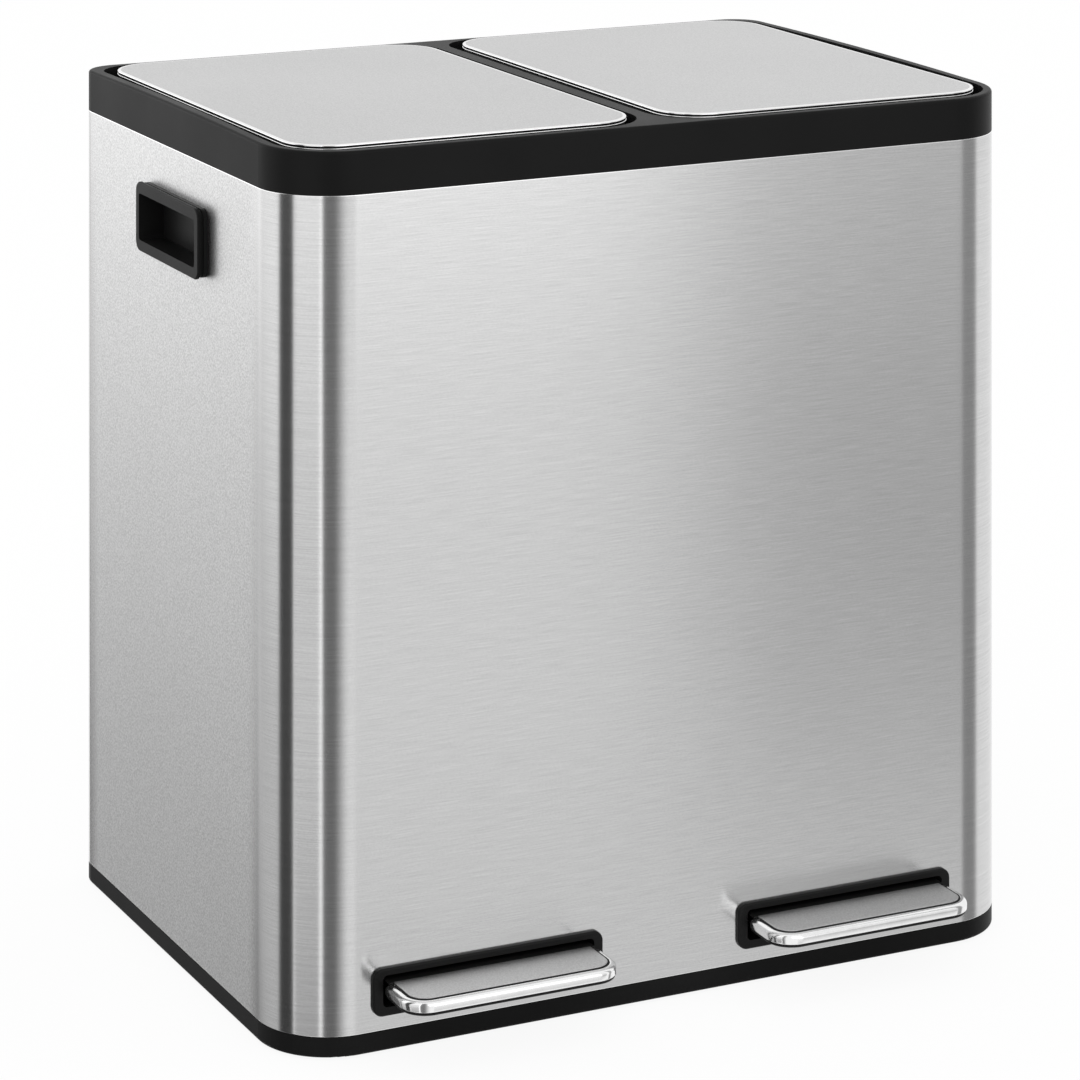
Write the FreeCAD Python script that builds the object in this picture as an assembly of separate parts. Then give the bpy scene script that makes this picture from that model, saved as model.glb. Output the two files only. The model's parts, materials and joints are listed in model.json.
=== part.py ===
import FreeCAD, Part
import math
import os

# Double recycling bin: a steel-wrapped body with two pedal-operated lids and two lift-out buckets.
# Frame: millimetres, +X to the object's right, -Y to the front, +Z up. The origin is the centre of
# the object's box in X and Y, on the floor in Z.

os.makedirs("parts", exist_ok=True)
V = FreeCAD.Vector

# ---------------------------------------------------------------- driving dimensions
BODY_WIDTH = 520.0
BODY_DEPTH = 374.0
PEDAL_REACH = 45.5          # from the front of the body to the tip of the tread
FRONT_CORNER_R = 48.0
BACK_CORNER_R = 24.0
SHELL_T = 0.6
PLASTIC_T = 2.5
FIT = 0.05                  # radial play of a running fit

# levels above the floor
FOOT_TOP = 1.5
BASE_TOP = 14.2             # lower edge of the steel shell
RIM_LOW = 525.8             # upper edge of the steel shell
RIM_TOP = 552.4
LID_TOP = 554.3
SIDE_CROWN = 1.9            # rise of the rim's sides in their middle
DECK_TOP = 77.5             # the floor that the buckets stand on

HALF_W = BODY_WIDTH / 2
FRONT = PEDAL_REACH / 2 - BODY_DEPTH / 2
BACK = FRONT + BODY_DEPTH
MID_Y = (FRONT + BACK) / 2

# lids and the openings that they close
LID_INNER_X = 11.6          # from the middle of the body to the lid's inner edge
LID_OUTER_X = 246.4
LID_FRONT = FRONT + 13.4
LID_BACK = BACK - 13.8
LID_CORNER_R = 31.0
LID_GAP = 6.5
OPENING_BACK_R = 28.0       # leaves room for the lid's rear corners as it swings
LID_PLATE_T = 0.8
LID_FLANGE = 3.1            # height of the folded edge
LID_EDGE_R = 1.6
LID_FRAME_T = 1.5
LID_FRAME_LOW = 542.3
LID_OPEN_DEG = 80.0

# lid hinge and lift
HINGE_Y = LID_BACK - 7.0
HINGE_Z = LID_TOP - 5.0
HINGE_PIN_R = 2.0
KNUCKLE_R = 3.8
KNUCKLE_W = 12.0
KNUCKLE_OFFSET = 60.0       # from the middle of the side's mechanism
LIFT_ARM = 21.0             # hinge axis to roller axis
LIFT_ARM_DEG = LID_OPEN_DEG / 2
ROLLER_R = 3.0
ROLLER_PLAY = 1.0           # between roller and pusher head

# pedals and their windows
PEDAL_X = 126.5             # middle of each side's pedal and lift mechanism
TREAD_HALF_W = 72.5
TREAD_TOP = 45.7
TREAD_BOTTOM = 36.4
TREAD_CORNER_R = 17.0
CAP_T = 1.2
CAP_FLANGE = 7.1
BEZEL_HALF_W = 78.3
BEZEL_LOW = 23.6
BEZEL_HIGH = 52.6
BEZEL_PROUD = 3.0
WINDOW_HALF_W = 72.0
WINDOW_LOW = 29.2
WINDOW_HIGH = 48.6

# pedal lever
PIVOT_Y = FRONT + 100.0
PIVOT_Z = 36.0
AXLE_R = 4.0
LEVER_T = 3.0
LEVER_HALF_W = 12.0

# push rod and damper
ROD_Y = BACK - 20.0
ROD_R = 3.0
DAMPER_OFFSET = 15.0

# carrying handles
HANDLE_Z = 475.3
HANDLE_HALF_L = 56.0
HANDLE_HALF_H = 22.6
HANDLE_PROUD = 7.5
HANDLE_R = 7.0
CUP_HALF_L = 50.0
CUP_HALF_H = 15.25
CUP_DEPTH = 17.0            # from the handle's face
CUP_WALL = 1.8

# buckets
BUCKET_INNER_X = 11.0
BUCKET_OUTER_X = 247.0
BUCKET_FRONT = FRONT + 19.0
BUCKET_BACK = BACK - 56.0
BUCKET_TOP = 528.0
BUCKET_WALL = 2.0
BUCKET_RIM = 5.0
BUCKET_TAPER = 8.0

SIDES = ((-1, "left"), (1, "right"))


# ---------------------------------------------------------------- shape helpers
def box(xs, ys, zs):
    """Box between two limits on each axis, given in either order."""
    (x0, x1), (y0, y1), (z0, z1) = (sorted(pair) for pair in (xs, ys, zs))
    return Part.makeBox(x1 - x0, y1 - y0, z1 - z0, V(x0, y0, z0))


def rounded_wire(xs, ys, radii, z=0.0):
    """Rectangle with its own radius at the front-left, front-right, back-right, back-left corner."""
    (x0, x1), (y0, y1) = sorted(xs), sorted(ys)
    corners = ((x0, y0, 1, 1), (x1, y0, -1, 1), (x1, y1, -1, -1), (x0, y1, 1, -1))
    diagonal = 1 - math.sqrt(0.5)
    edges = []
    last = None
    first = None
    for index, ((cx, cy, dx, dy), r) in enumerate(zip(corners, radii)):
        along_y = V(cx, cy + dy * r, z)
        along_x = V(cx + dx * r, cy, z)
        middle = V(cx + dx * r * diagonal, cy + dy * r * diagonal, z)
        start, end = (along_y, along_x) if index % 2 == 0 else (along_x, along_y)
        if last is not None:
            edges.append(Part.LineSegment(last, start).toShape())
        edges.append(Part.Arc(start, middle, end).toShape())
        first = first or start
        last = end
    edges.append(Part.LineSegment(last, first).toShape())
    return Part.Wire(edges)


def slab(xs, ys, radii, zs):
    """Upright prism with rounded corners; radii is one number or four."""
    z0, z1 = sorted(zs)
    four = radii if isinstance(radii, tuple) else (radii,) * 4
    return Part.Face(rounded_wire(xs, ys, four, z0)).extrude(V(0, 0, z1 - z0))


def slab_y(xs, zs, radius, ys):
    """Prism along Y whose rounded outline lies in X and Z."""
    y0, y1 = sorted(ys)
    shape = slab(xs, zs, radius, (-y1, -y0))
    shape.rotate(V(0, 0, 0), V(1, 0, 0), 90)
    return shape


def slab_x(ys, zs, radius, xs):
    """Prism along X whose rounded outline lies in Y and Z."""
    shape = slab(ys, zs, radius, xs)
    shape.rotate(V(0, 0, 0), V(1, 1, 1), 120)
    return shape


def rod_x(x_pair, y, z, radius):
    x0, x1 = sorted(x_pair)
    return Part.makeCylinder(radius, x1 - x0, V(x0, y, z), V(1, 0, 0))


def rod_z(x, y, z_pair, radius):
    z0, z1 = sorted(z_pair)
    return Part.makeCylinder(radius, z1 - z0, V(x, y, z0))


def fuse(shapes):
    joined = shapes[0].multiFuse(shapes[1:]) if len(shapes) > 1 else shapes[0]
    return joined.removeSplitter()


def cut(shape, tools):
    for tool in tools:
        shape = shape.cut(tool)
    return shape


def edges_at(shape, axis, level, extra=None):
    """Edges lying wholly at one level of one axis, that also pass a test."""
    found = []
    for edge in shape.Edges:
        bounds = edge.BoundBox
        low = getattr(bounds, axis + "Min")
        high = getattr(bounds, axis + "Max")
        if abs(low - level) < 1e-4 and abs(high - level) < 1e-4 and (extra is None or extra(edge)):
            found.append(edge)
    return found


def outline(inset, zs):
    """The body's plan, moved inwards by inset, as a prism."""
    front_r = FRONT_CORNER_R - inset
    back_r = BACK_CORNER_R - inset
    xs = (-HALF_W + inset, HALF_W - inset)
    ys = (FRONT + inset, BACK - inset)
    return slab(xs, ys, (front_r, front_r, back_r, back_r), zs)


def about(middle, half):
    return (middle - half, middle + half)


def from_middle(side, near, far):
    """Limits in X of something between two distances from the body's middle, on one side."""
    return (side * near, side * far)


def save(node, shapes):
    shape = shapes[0] if len(shapes) == 1 else Part.makeCompound(shapes)
    shape.exportStep("parts/" + node + ".step")


# ---------------------------------------------------------------- fasteners
SCREW_R = 1.5
SCREW_HEAD_R = 3.0
SCREW_HEAD_H = 1.8


def screw(x, y, z, length, up=False):
    """Pan-head screw whose head sits on z and whose shank goes down, or up."""
    sense = 1 if up else -1
    shank = rod_z(x, y, (z, z + sense * length), SCREW_R)
    head = rod_z(x, y, (z, z - sense * SCREW_HEAD_H), SCREW_HEAD_R)
    slot_half = 0.4
    slot_depth = 0.7
    top = z - sense * SCREW_HEAD_H
    slot = box(about(x, SCREW_HEAD_R), about(y, slot_half), (top, top + sense * slot_depth))
    return fuse([shank, head]).cut(slot)


# ---------------------------------------------------------------- outer body
def handle_window(side):
    play = 0.3
    half_l = CUP_HALF_L + CUP_WALL + play
    half_h = CUP_HALF_H + CUP_WALL + play
    ys = about(MID_Y, half_l)
    return slab_x(ys, about(HANDLE_Z, half_h), 4.0, from_middle(side, HALF_W - 4, HALF_W + 4))


def pedal_window(side):
    grow = 2.6
    xs = about(side * PEDAL_X, WINDOW_HALF_W + grow)
    zs = (WINDOW_LOW - grow, WINDOW_HIGH + grow)
    return slab_y(xs, zs, 5.0, about(FRONT, 4))


def outer_shell():
    """One wrapped steel sheet; its ends lock together in a seam down the middle of the back."""
    seam_half = 8.0
    seam_t = 1.2
    groove_half = 0.4
    groove_depth = 0.3
    inner_face = BACK - SHELL_T
    walls = outline(0, (BASE_TOP, RIM_LOW)).cut(outline(SHELL_T, (BASE_TOP, RIM_LOW)))
    seam = box(about(0, seam_half), (inner_face, inner_face - seam_t), (BASE_TOP + 8, RIM_LOW - 18))
    shell = fuse([walls, seam])
    groove = box(about(0, groove_half), (BACK - groove_depth, BACK), (BASE_TOP, RIM_LOW))
    windows = [handle_window(side) for side, _ in SIDES] + [pedal_window(side) for side, _ in SIDES]
    return cut(shell, windows + [groove])


FEET = [(x, y) for x in (-205.0, 205.0) for y in (FRONT + 50, BACK - 45)]
POST_R = 9.0
DECK_POSTS = [(x, y) for x in (-225.0, 0.0, 225.0) for y in (FRONT + 45, MID_Y, BACK - 40)]


def base_tray():
    """Black moulded tray that closes the bottom, with a spigot inside the steel and posts for the deck."""
    edge_round = 2.2
    ring_t = 4.0
    floor_top = FOOT_TOP + PLASTIC_T
    spigot_gap = 0.7
    spigot_top = BASE_TOP + 5.8
    block = outline(0, (FOOT_TOP, BASE_TOP))
    block = block.makeFillet(edge_round, edges_at(block, "Z", FOOT_TOP))
    hollow = outline(ring_t, (floor_top, BASE_TOP))
    spigot = outline(spigot_gap, (BASE_TOP - 3, spigot_top))
    spigot = spigot.cut(outline(spigot_gap + PLASTIC_T, (BASE_TOP - 3, spigot_top)))
    deck_low = DECK_TOP - PLASTIC_T
    posts = [rod_z(x, y, (floor_top, deck_low), POST_R) for x, y in DECK_POSTS]
    bores = [rod_z(x, y, (floor_top, deck_low), POST_R - PLASTIC_T) for x, y in DECK_POSTS]
    ribs = [box((-225.0, 225.0), about(y, 1.0), (floor_top, floor_top + 8)) for y in (-20.0, 90.0)]
    tray = fuse([block.cut(hollow), spigot] + posts + ribs)
    return cut(tray, bores)


def deck():
    """Raised floor under the buckets, open where the push rods rise."""
    inset = 2.2
    low = DECK_TOP - PLASTIC_T
    lip_low = low - 8
    plate = outline(inset, (low, DECK_TOP))
    lip = outline(inset, (lip_low, low)).cut(outline(inset + PLASTIC_T, (lip_low, low)))
    holes = [rod_z(side * PEDAL_X, ROD_Y, (lip_low, DECK_TOP), 10.0) for side, _ in SIDES]
    return cut(fuse([plate, lip]), holes)


def feet():
    foot_r = 14.0
    return [rod_z(x, y, (0, FOOT_TOP), foot_r) for x, y in FEET]


# ---------------------------------------------------------------- top frame
OPENING_WALL = 2.0
SHELF_TOP = 527.0
SHELF_T = 3.0
SHELF_FRONT = BUCKET_BACK + 4.0
SHELF_LIP_T = 2.0
BUMPER_X = (60.0, 198.0)
BUMPER_R = 3.0
BUMPER_TOP = LID_FRAME_LOW - 0.4
TAB_TOP = BUMPER_TOP - 2.0
POST_SLOT = ((-7.0, 7.0), (HINGE_Y - 28.0, HINGE_Y - 8.0))


def opening(side, grow, zs):
    near = LID_INNER_X - LID_GAP - grow
    far = LID_OUTER_X + LID_GAP + grow
    ys = (LID_FRONT - LID_GAP - grow, LID_BACK + LID_GAP + grow)
    front_r = LID_CORNER_R + LID_GAP + grow
    back_r = OPENING_BACK_R + grow
    return slab(from_middle(side, near, far), ys, (front_r, front_r, back_r, back_r), zs)


def crowned_block():
    """Solid rim whose top is level along the front and the middle, and arched along both sides."""
    sections = []
    for x, rise in ((-HALF_W, SIDE_CROWN), (0.0, 0.0), (HALF_W, SIDE_CROWN)):
        front_top = V(x, FRONT, RIM_TOP)
        back_top = V(x, BACK, RIM_TOP)
        crown = Part.LineSegment(front_top, back_top).toShape()
        if rise:
            crown = Part.Arc(front_top, V(x, MID_Y, RIM_TOP + rise), back_top).toShape()
        down = Part.makeLine(back_top, V(x, BACK, RIM_LOW))
        along = Part.makeLine(V(x, BACK, RIM_LOW), V(x, FRONT, RIM_LOW))
        up = Part.makeLine(V(x, FRONT, RIM_LOW), front_top)
        sections.append(Part.Wire([crown, down, along, up]))
    loft = Part.makeLoft(sections, True, True)
    return outline(0, (RIM_LOW, RIM_TOP + SIDE_CROWN + 1)).common(loft)


def top_frame():
    """Rim with two recessed openings, a divider bar, a spigot inside the steel and a rear hinge shelf."""
    edge_round = 2.0
    band_t = 2.4
    spigot_gap = 0.7
    spigot_low = RIM_LOW - 16
    plate_low = RIM_TOP - PLASTIC_T
    block = crowned_block()
    boxes = [(edge, edge.BoundBox) for edge in block.Edges]
    high = [(edge, bounds) for edge, bounds in boxes if bounds.ZMin > RIM_TOP - 0.01]
    top_edges = [edge for edge, bounds in high if max(abs(bounds.XMin), abs(bounds.XMax)) > 1.0]
    block = block.makeFillet(edge_round, top_edges)
    cap = block.cut(outline(band_t, (RIM_LOW, plate_low)))
    spigot = outline(spigot_gap, (spigot_low, RIM_LOW + 4))
    spigot = spigot.cut(outline(spigot_gap + PLASTIC_T, (spigot_low, RIM_LOW + 4)))
    wells = [opening(side, OPENING_WALL, (RIM_LOW, plate_low)) for side, _ in SIDES]
    shelf_inset = spigot_gap + 0.5
    shelf = outline(shelf_inset, (SHELF_TOP - SHELF_T, SHELF_TOP))
    shelf = shelf.common(box((-HALF_W, HALF_W), (SHELF_FRONT, BACK), (SHELF_TOP - SHELF_T, SHELF_TOP)))
    lip = box((-245.0, 245.0), (SHELF_FRONT, SHELF_FRONT + SHELF_LIP_T), (SHELF_TOP - 8, SHELF_TOP))
    wall_end = opening(-1, OPENING_WALL, (RIM_LOW, SHELF_TOP)).BoundBox
    tabs = []
    for side, _ in SIDES:
        for x in BUMPER_X:
            ys = (wall_end.YMin + 0.5, BUCKET_FRONT - 1)
            tabs.append(box(about(side * x, 6.0), ys, (TAB_TOP - 3, TAB_TOP)))
    frame = fuse([cap, spigot, shelf, lip] + wells)
    holes = [opening(side, 0, (SHELF_TOP, RIM_TOP + SIDE_CROWN + 1)) for side, _ in SIDES]
    holes += [opening(side, 0, (RIM_LOW, SHELF_TOP)).cut(shelf).cut(lip) for side, _ in SIDES]
    for side, _ in SIDES:
        xs, ys = POST_SLOT
        shifted = (side * PEDAL_X + xs[0], side * PEDAL_X + xs[1])
        holes.append(box(shifted, ys, (SHELF_TOP - SHELF_T, SHELF_TOP)))
    return fuse([cut(frame, holes)] + tabs)


def bumpers():
    y = BUCKET_FRONT - 4.0
    return [rod_z(side * x, y, (TAB_TOP, BUMPER_TOP), BUMPER_R) for side, _ in SIDES for x in BUMPER_X]


# ---------------------------------------------------------------- handles and pedal bezels
def handle(side):
    """Moulded grip: a flange on the steel, a shadow groove, a face plate and a finger cup."""
    flange_t = 3.0
    flange_inset = 0.8
    face_t = 2.2
    groove = 1.8
    round_r = 1.0
    face_x = HALF_W + HANDLE_PROUD
    ys = about(MID_Y, HANDLE_HALF_L)
    zs = about(HANDLE_Z, HANDLE_HALF_H)
    flange_ys = about(MID_Y, HANDLE_HALF_L - flange_inset)
    flange_zs = about(HANDLE_Z, HANDLE_HALF_H - flange_inset)
    flange_xs = from_middle(side, HALF_W, HALF_W + flange_t)
    flange = slab_x(flange_ys, flange_zs, HANDLE_R - flange_inset, flange_xs)
    neck_ys = about(MID_Y, HANDLE_HALF_L - groove)
    neck_zs = about(HANDLE_Z, HANDLE_HALF_H - groove)
    neck = slab_x(neck_ys, neck_zs, HANDLE_R - groove, from_middle(side, HALF_W, face_x))
    face = slab_x(ys, zs, HANDLE_R, from_middle(side, face_x - face_t, face_x))
    face = face.makeFillet(round_r, edges_at(face, "X", side * face_x))
    cup_end = face_x - CUP_DEPTH
    shell_ys = about(MID_Y, CUP_HALF_L + CUP_WALL)
    shell_zs = about(HANDLE_Z, CUP_HALF_H + CUP_WALL)
    shell = slab_x(shell_ys, shell_zs, 3.8, from_middle(side, cup_end - CUP_WALL, face_x - face_t))
    cup = slab_x(about(MID_Y, CUP_HALF_L), about(HANDLE_Z, CUP_HALF_H), 2.5,
                 from_middle(side, cup_end, face_x))
    return fuse([flange, neck, face, shell]).cut(cup)


def handle_retainer(side):
    """Ring that clamps the grip to the steel from inside."""
    thickness = 2.0
    margin = 6.5
    play = 0.3
    x_in = HALF_W - SHELL_T
    xs = from_middle(side, x_in - thickness, x_in)
    outer = slab_x(about(MID_Y, CUP_HALF_L + CUP_WALL + margin),
                   about(HANDLE_Z, CUP_HALF_H + CUP_WALL + margin), 6.0, xs)
    inner = slab_x(about(MID_Y, CUP_HALF_L + CUP_WALL + play),
                   about(HANDLE_Z, CUP_HALF_H + CUP_WALL + play), 4.0, xs)
    return outer.cut(inner)


def pedal_bezel(side):
    """Frame round the pedal's window, with a collar that passes through the steel."""
    round_r = 1.3
    collar_wall = 2.3
    collar_end = FRONT + 10.0
    face_y = FRONT - BEZEL_PROUD
    middle = side * PEDAL_X
    flange = slab_y(about(middle, BEZEL_HALF_W), (BEZEL_LOW, BEZEL_HIGH), 6.5, (face_y, FRONT))
    flange = flange.makeFillet(round_r, edges_at(flange, "Y", face_y))
    collar = slab_y(about(middle, WINDOW_HALF_W + collar_wall),
                    (WINDOW_LOW - collar_wall, WINDOW_HIGH + collar_wall), 5.0, (face_y + 2, collar_end))
    window = slab_y(about(middle, WINDOW_HALF_W), (WINDOW_LOW, WINDOW_HIGH), 3.0, (face_y, collar_end))
    return fuse([flange, collar]).cut(window)


# ---------------------------------------------------------------- lids
def lid_outline(side, inset, zs, back=LID_BACK):
    xs = from_middle(side, LID_INNER_X + inset, LID_OUTER_X - inset)
    return slab(xs, (LID_FRONT + inset, back - inset), LID_CORNER_R - inset, zs)


def lid_plate(side):
    """Pressed steel lid skin with a folded, rounded edge."""
    block = lid_outline(side, 0, (LID_TOP - LID_FLANGE, LID_TOP))
    block = block.makeFillet(LID_EDGE_R, edges_at(block, "Z", LID_TOP))
    return block.cut(lid_outline(side, LID_PLATE_T, (LID_TOP - LID_FLANGE, LID_TOP - LID_PLATE_T)))


def lid_frame(side):
    """Black inner frame: panel, skirt, ribs and the hinge knuckles behind its back wall."""
    skirt_inset = LID_PLATE_T + 0.4
    skirt_t = 2.0
    top = LID_TOP - LID_PLATE_T
    panel_low = top - LID_FRAME_T
    frame_back = HINGE_Y - KNUCKLE_R - 1.0
    cutter = box((-HALF_W, HALF_W), (frame_back, BACK), (0, LID_TOP))
    block = lid_outline(side, skirt_inset, (LID_FRAME_LOW, top)).cut(cutter)
    inner_cut = box((-HALF_W, HALF_W), (frame_back - skirt_t, BACK), (0, LID_TOP))
    hollow = lid_outline(side, skirt_inset + skirt_t, (LID_FRAME_LOW, panel_low)).cut(inner_cut)
    ribs = []
    rib_low = LID_FRAME_LOW + 3
    middle = side * (LID_INNER_X + LID_OUTER_X) / 2
    for offset in (-70.0, 70.0):
        ribs.append(box(about(middle + offset, 1.0), (LID_FRONT + 3, frame_back - 1), (rib_low, top)))
    for y in (LID_FRONT + 90, LID_FRONT + 200):
        ribs.append(box(about(middle, 110.0), about(y, 1.0), (rib_low, top)))
    knuckles = []
    bores = []
    for offset in (-KNUCKLE_OFFSET, KNUCKLE_OFFSET):
        xs = about(side * PEDAL_X + offset, KNUCKLE_W / 2)
        knuckles.append(box(xs, (frame_back - 1, HINGE_Y), about(HINGE_Z, KNUCKLE_R)))
        knuckles.append(rod_x(xs, HINGE_Y, HINGE_Z, KNUCKLE_R))
        bores.append(rod_x(xs, HINGE_Y, HINGE_Z, HINGE_PIN_R + FIT))
    frame = fuse([block.cut(hollow)] + ribs + knuckles)
    return cut(frame, bores)


ROLLER_Y = HINGE_Y - LIFT_ARM * math.cos(math.radians(LIFT_ARM_DEG))
ROLLER_Z = HINGE_Z - LIFT_ARM * math.sin(math.radians(LIFT_ARM_DEG))
CHEEK_NEAR = 5.3
CHEEK_T = 2.0
PANEL_LOW = LID_TOP - LID_PLATE_T - LID_FRAME_T


def lift_bracket(side):
    """Bracket under the lid with two cheeks that carry the lift roller."""
    plate_t = 1.5
    cheek_r = 4.0
    middle = side * PEDAL_X
    plate_ys = (HINGE_Y - 38.0, HINGE_Y - 9.5)
    plate = box(about(middle, 14.0), plate_ys, (PANEL_LOW - plate_t, PANEL_LOW))
    parts = [plate]
    for sense in (-1, 1):
        xs = (middle + sense * CHEEK_NEAR, middle + sense * (CHEEK_NEAR + CHEEK_T))
        parts.append(box(xs, about(ROLLER_Y, cheek_r), (ROLLER_Z, PANEL_LOW - plate_t)))
        parts.append(rod_x(xs, ROLLER_Y, ROLLER_Z, cheek_r))
    pin_bore = rod_x(about(middle, 14.0), ROLLER_Y, ROLLER_Z, 1.5 + FIT)
    return fuse(parts).cut(pin_bore)


def lift_roller(side):
    """Nylon roller on its pin, between the cheeks of the lift bracket."""
    middle = side * PEDAL_X
    pin_half = CHEEK_NEAR + CHEEK_T + 1.2
    roller = rod_x(about(middle, CHEEK_NEAR - 0.3), ROLLER_Y, ROLLER_Z, ROLLER_R)
    pin = rod_x(about(middle, pin_half), ROLLER_Y, ROLLER_Z, 1.5)
    return fuse([roller, pin])


def lift_screws(side):
    return [screw(side * PEDAL_X + dx, HINGE_Y - 33.0, PANEL_LOW - 1.5, 2.5, up=True)
            for dx in (-10.0, 10.0)]


# ---------------------------------------------------------------- hinge hardware
CHEEK_GAP = 0.5
HINGE_CHEEK_T = 4.0
POST_BACK = 1.5             # the lid's folded edge swings down behind the posts


def knuckle_middles(side):
    return [side * PEDAL_X + offset for offset in (-KNUCKLE_OFFSET, KNUCKLE_OFFSET)]


def hinge_screws(side):
    return [screw(middle + dx, HINGE_Y, SHELF_TOP + 2.0, 4.5)
            for middle in knuckle_middles(side) for dx in (-15.0, 15.0)]


def hinge_brackets(side):
    """Two clevises that stand on the rear shelf, one round each lid knuckle."""
    brackets = []
    for middle in knuckle_middles(side):
        parts = [box(about(middle, 20.0), about(HINGE_Y, 7.0), (SHELF_TOP, SHELF_TOP + 2.0))]
        for sense in (-1, 1):
            near = KNUCKLE_W / 2 + CHEEK_GAP
            xs = (middle + sense * near, middle + sense * (near + HINGE_CHEEK_T))
            parts.append(box(xs, (HINGE_Y - KNUCKLE_R, HINGE_Y + POST_BACK), (SHELF_TOP, HINGE_Z)))
            parts.append(rod_x(xs, HINGE_Y, HINGE_Z, KNUCKLE_R))
        bore = rod_x(about(middle, 20.0), HINGE_Y, HINGE_Z, HINGE_PIN_R)
        brackets.append(cut(fuse(parts), [bore] + hinge_screws(side)))
    return brackets


def hinge_pins(side):
    pin_half = KNUCKLE_W / 2 + CHEEK_GAP + HINGE_CHEEK_T + 1.0
    return [rod_x(about(middle, pin_half), HINGE_Y, HINGE_Z, HINGE_PIN_R)
            for middle in knuckle_middles(side)]


# ---------------------------------------------------------------- pedals
TREAD_BACK = FRONT - BEZEL_PROUD - 4.0
TREAD_TIP = FRONT - PEDAL_REACH
TONGUE_BACK = FRONT + 8.0


def pedal_cap(side):
    """Polished pressed-steel cap: flat top, rounded flange on three sides, tongue into the window."""
    round_r = 3.4
    middle = side * PEDAL_X
    low = TREAD_TOP - CAP_FLANGE
    radii = (TREAD_CORNER_R, TREAD_CORNER_R, 0.6, 0.6)
    block = slab(about(middle, TREAD_HALF_W), (TREAD_TIP, TREAD_BACK), radii, (low, TREAD_TOP))
    top_edges = edges_at(block, "Z", TREAD_TOP, lambda edge: edge.BoundBox.YMin < TREAD_BACK - 0.7)
    block = block.makeFillet(round_r, top_edges)
    inner_radii = (TREAD_CORNER_R - CAP_T, TREAD_CORNER_R - CAP_T, 0.6, 0.6)
    hollow = slab(about(middle, TREAD_HALF_W - CAP_T), (TREAD_TIP + CAP_T, TREAD_BACK + 1),
                  inner_radii, (low, TREAD_TOP - CAP_T))
    hollow_edges = edges_at(hollow, "Z", TREAD_TOP - CAP_T, lambda edge: edge.BoundBox.YMin < TREAD_BACK)
    hollow = hollow.makeFillet(round_r - CAP_T, hollow_edges)
    tongue = box(about(middle, WINDOW_HALF_W - 2.0), (TREAD_BACK - 1, TONGUE_BACK),
                 (TREAD_TOP - CAP_T, TREAD_TOP))
    return fuse([block.cut(hollow), tongue])


LEVER_TOP = TREAD_TOP - CAP_T
LEVER_PLATE_HALF = 50.0
LEVER_BACK = ROD_Y + 7.0
SHOE_INSET = 1.4


def pedal_lever(side):
    """Pressed steel lever: a plate under the cap, a neck through the window, a channel to the back."""
    middle = side * PEDAL_X
    low = LEVER_TOP - LEVER_T
    plate_front = TREAD_TIP + 17.0
    neck_back = FRONT + 14.0
    taper_back = FRONT + 50.0
    wall = 2.5
    flange_low = LEVER_TOP - 11.0
    lug_half = 16.0
    lug_low = PIVOT_Z - 8.0
    half = [(LEVER_PLATE_HALF, plate_front), (LEVER_PLATE_HALF, neck_back),
            (LEVER_HALF_W, taper_back), (LEVER_HALF_W, LEVER_BACK)]
    plan = [V(middle - x, y, low) for x, y in half] + [V(middle + x, y, low) for x, y in reversed(half)]
    web = Part.Face(Part.makePolygon(plan + plan[:1])).extrude(V(0, 0, LEVER_T))
    parts = [web]
    bores = []
    for sense in (-1, 1):
        xs = (middle + sense * (LEVER_HALF_W - wall), middle + sense * LEVER_HALF_W)
        parts.append(box(xs, (taper_back - 8, LEVER_BACK), (flange_low, LEVER_TOP)))
        parts.append(box(xs, about(PIVOT_Y, lug_half), (lug_low, LEVER_TOP)))
        bores.append(rod_x(xs, PIVOT_Y, PIVOT_Z, AXLE_R + FIT))
    return cut(fuse(parts), bores)


def pedal_shoe(side):
    """Black moulded shoe that fills the cap from below and shows as a lip under its edge."""
    middle = side * PEDAL_X
    lip_top = TREAD_TOP - CAP_FLANGE
    lip_inset = 0.8
    lip_r = TREAD_CORNER_R - lip_inset
    lip = slab(about(middle, TREAD_HALF_W - lip_inset), (TREAD_TIP + lip_inset, TREAD_BACK),
               (lip_r, lip_r, 0.6, 0.6), (TREAD_BOTTOM, lip_top))
    low_edges = edges_at(lip, "Z", TREAD_BOTTOM, lambda edge: edge.BoundBox.YMin < TREAD_BACK - 0.7)
    lip = lip.makeFillet(1.0, low_edges)
    inset = CAP_T + 0.2 + SHOE_INSET
    filling_r = TREAD_CORNER_R - inset
    filling = slab(about(middle, TREAD_HALF_W - inset), (TREAD_TIP + inset, TREAD_BACK),
                   (filling_r, filling_r, 0.6, 0.6), (lip_top, LEVER_TOP))
    return cut(fuse([lip, filling]), [pedal_lever(side), pedal_cap(side)])


def pedal_screws(side):
    reach = 7.4
    y = TREAD_TIP + 22.0
    return [screw(side * PEDAL_X + dx, y, TREAD_BOTTOM, reach, up=True) for dx in (-35.0, 35.0)]


# ---------------------------------------------------------------- lever bearings
FLOOR_TOP = FOOT_TOP + PLASTIC_T
CHEEK_AT = 15.0
BRACKET_T = 2.5


def bracket_screws(side):
    return [screw(side * PEDAL_X + dx, PIVOT_Y + dy, FLOOR_TOP + BRACKET_T, 4.0)
            for dx in (-24.0, 24.0) for dy in (-10.0, 10.0)]


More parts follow.
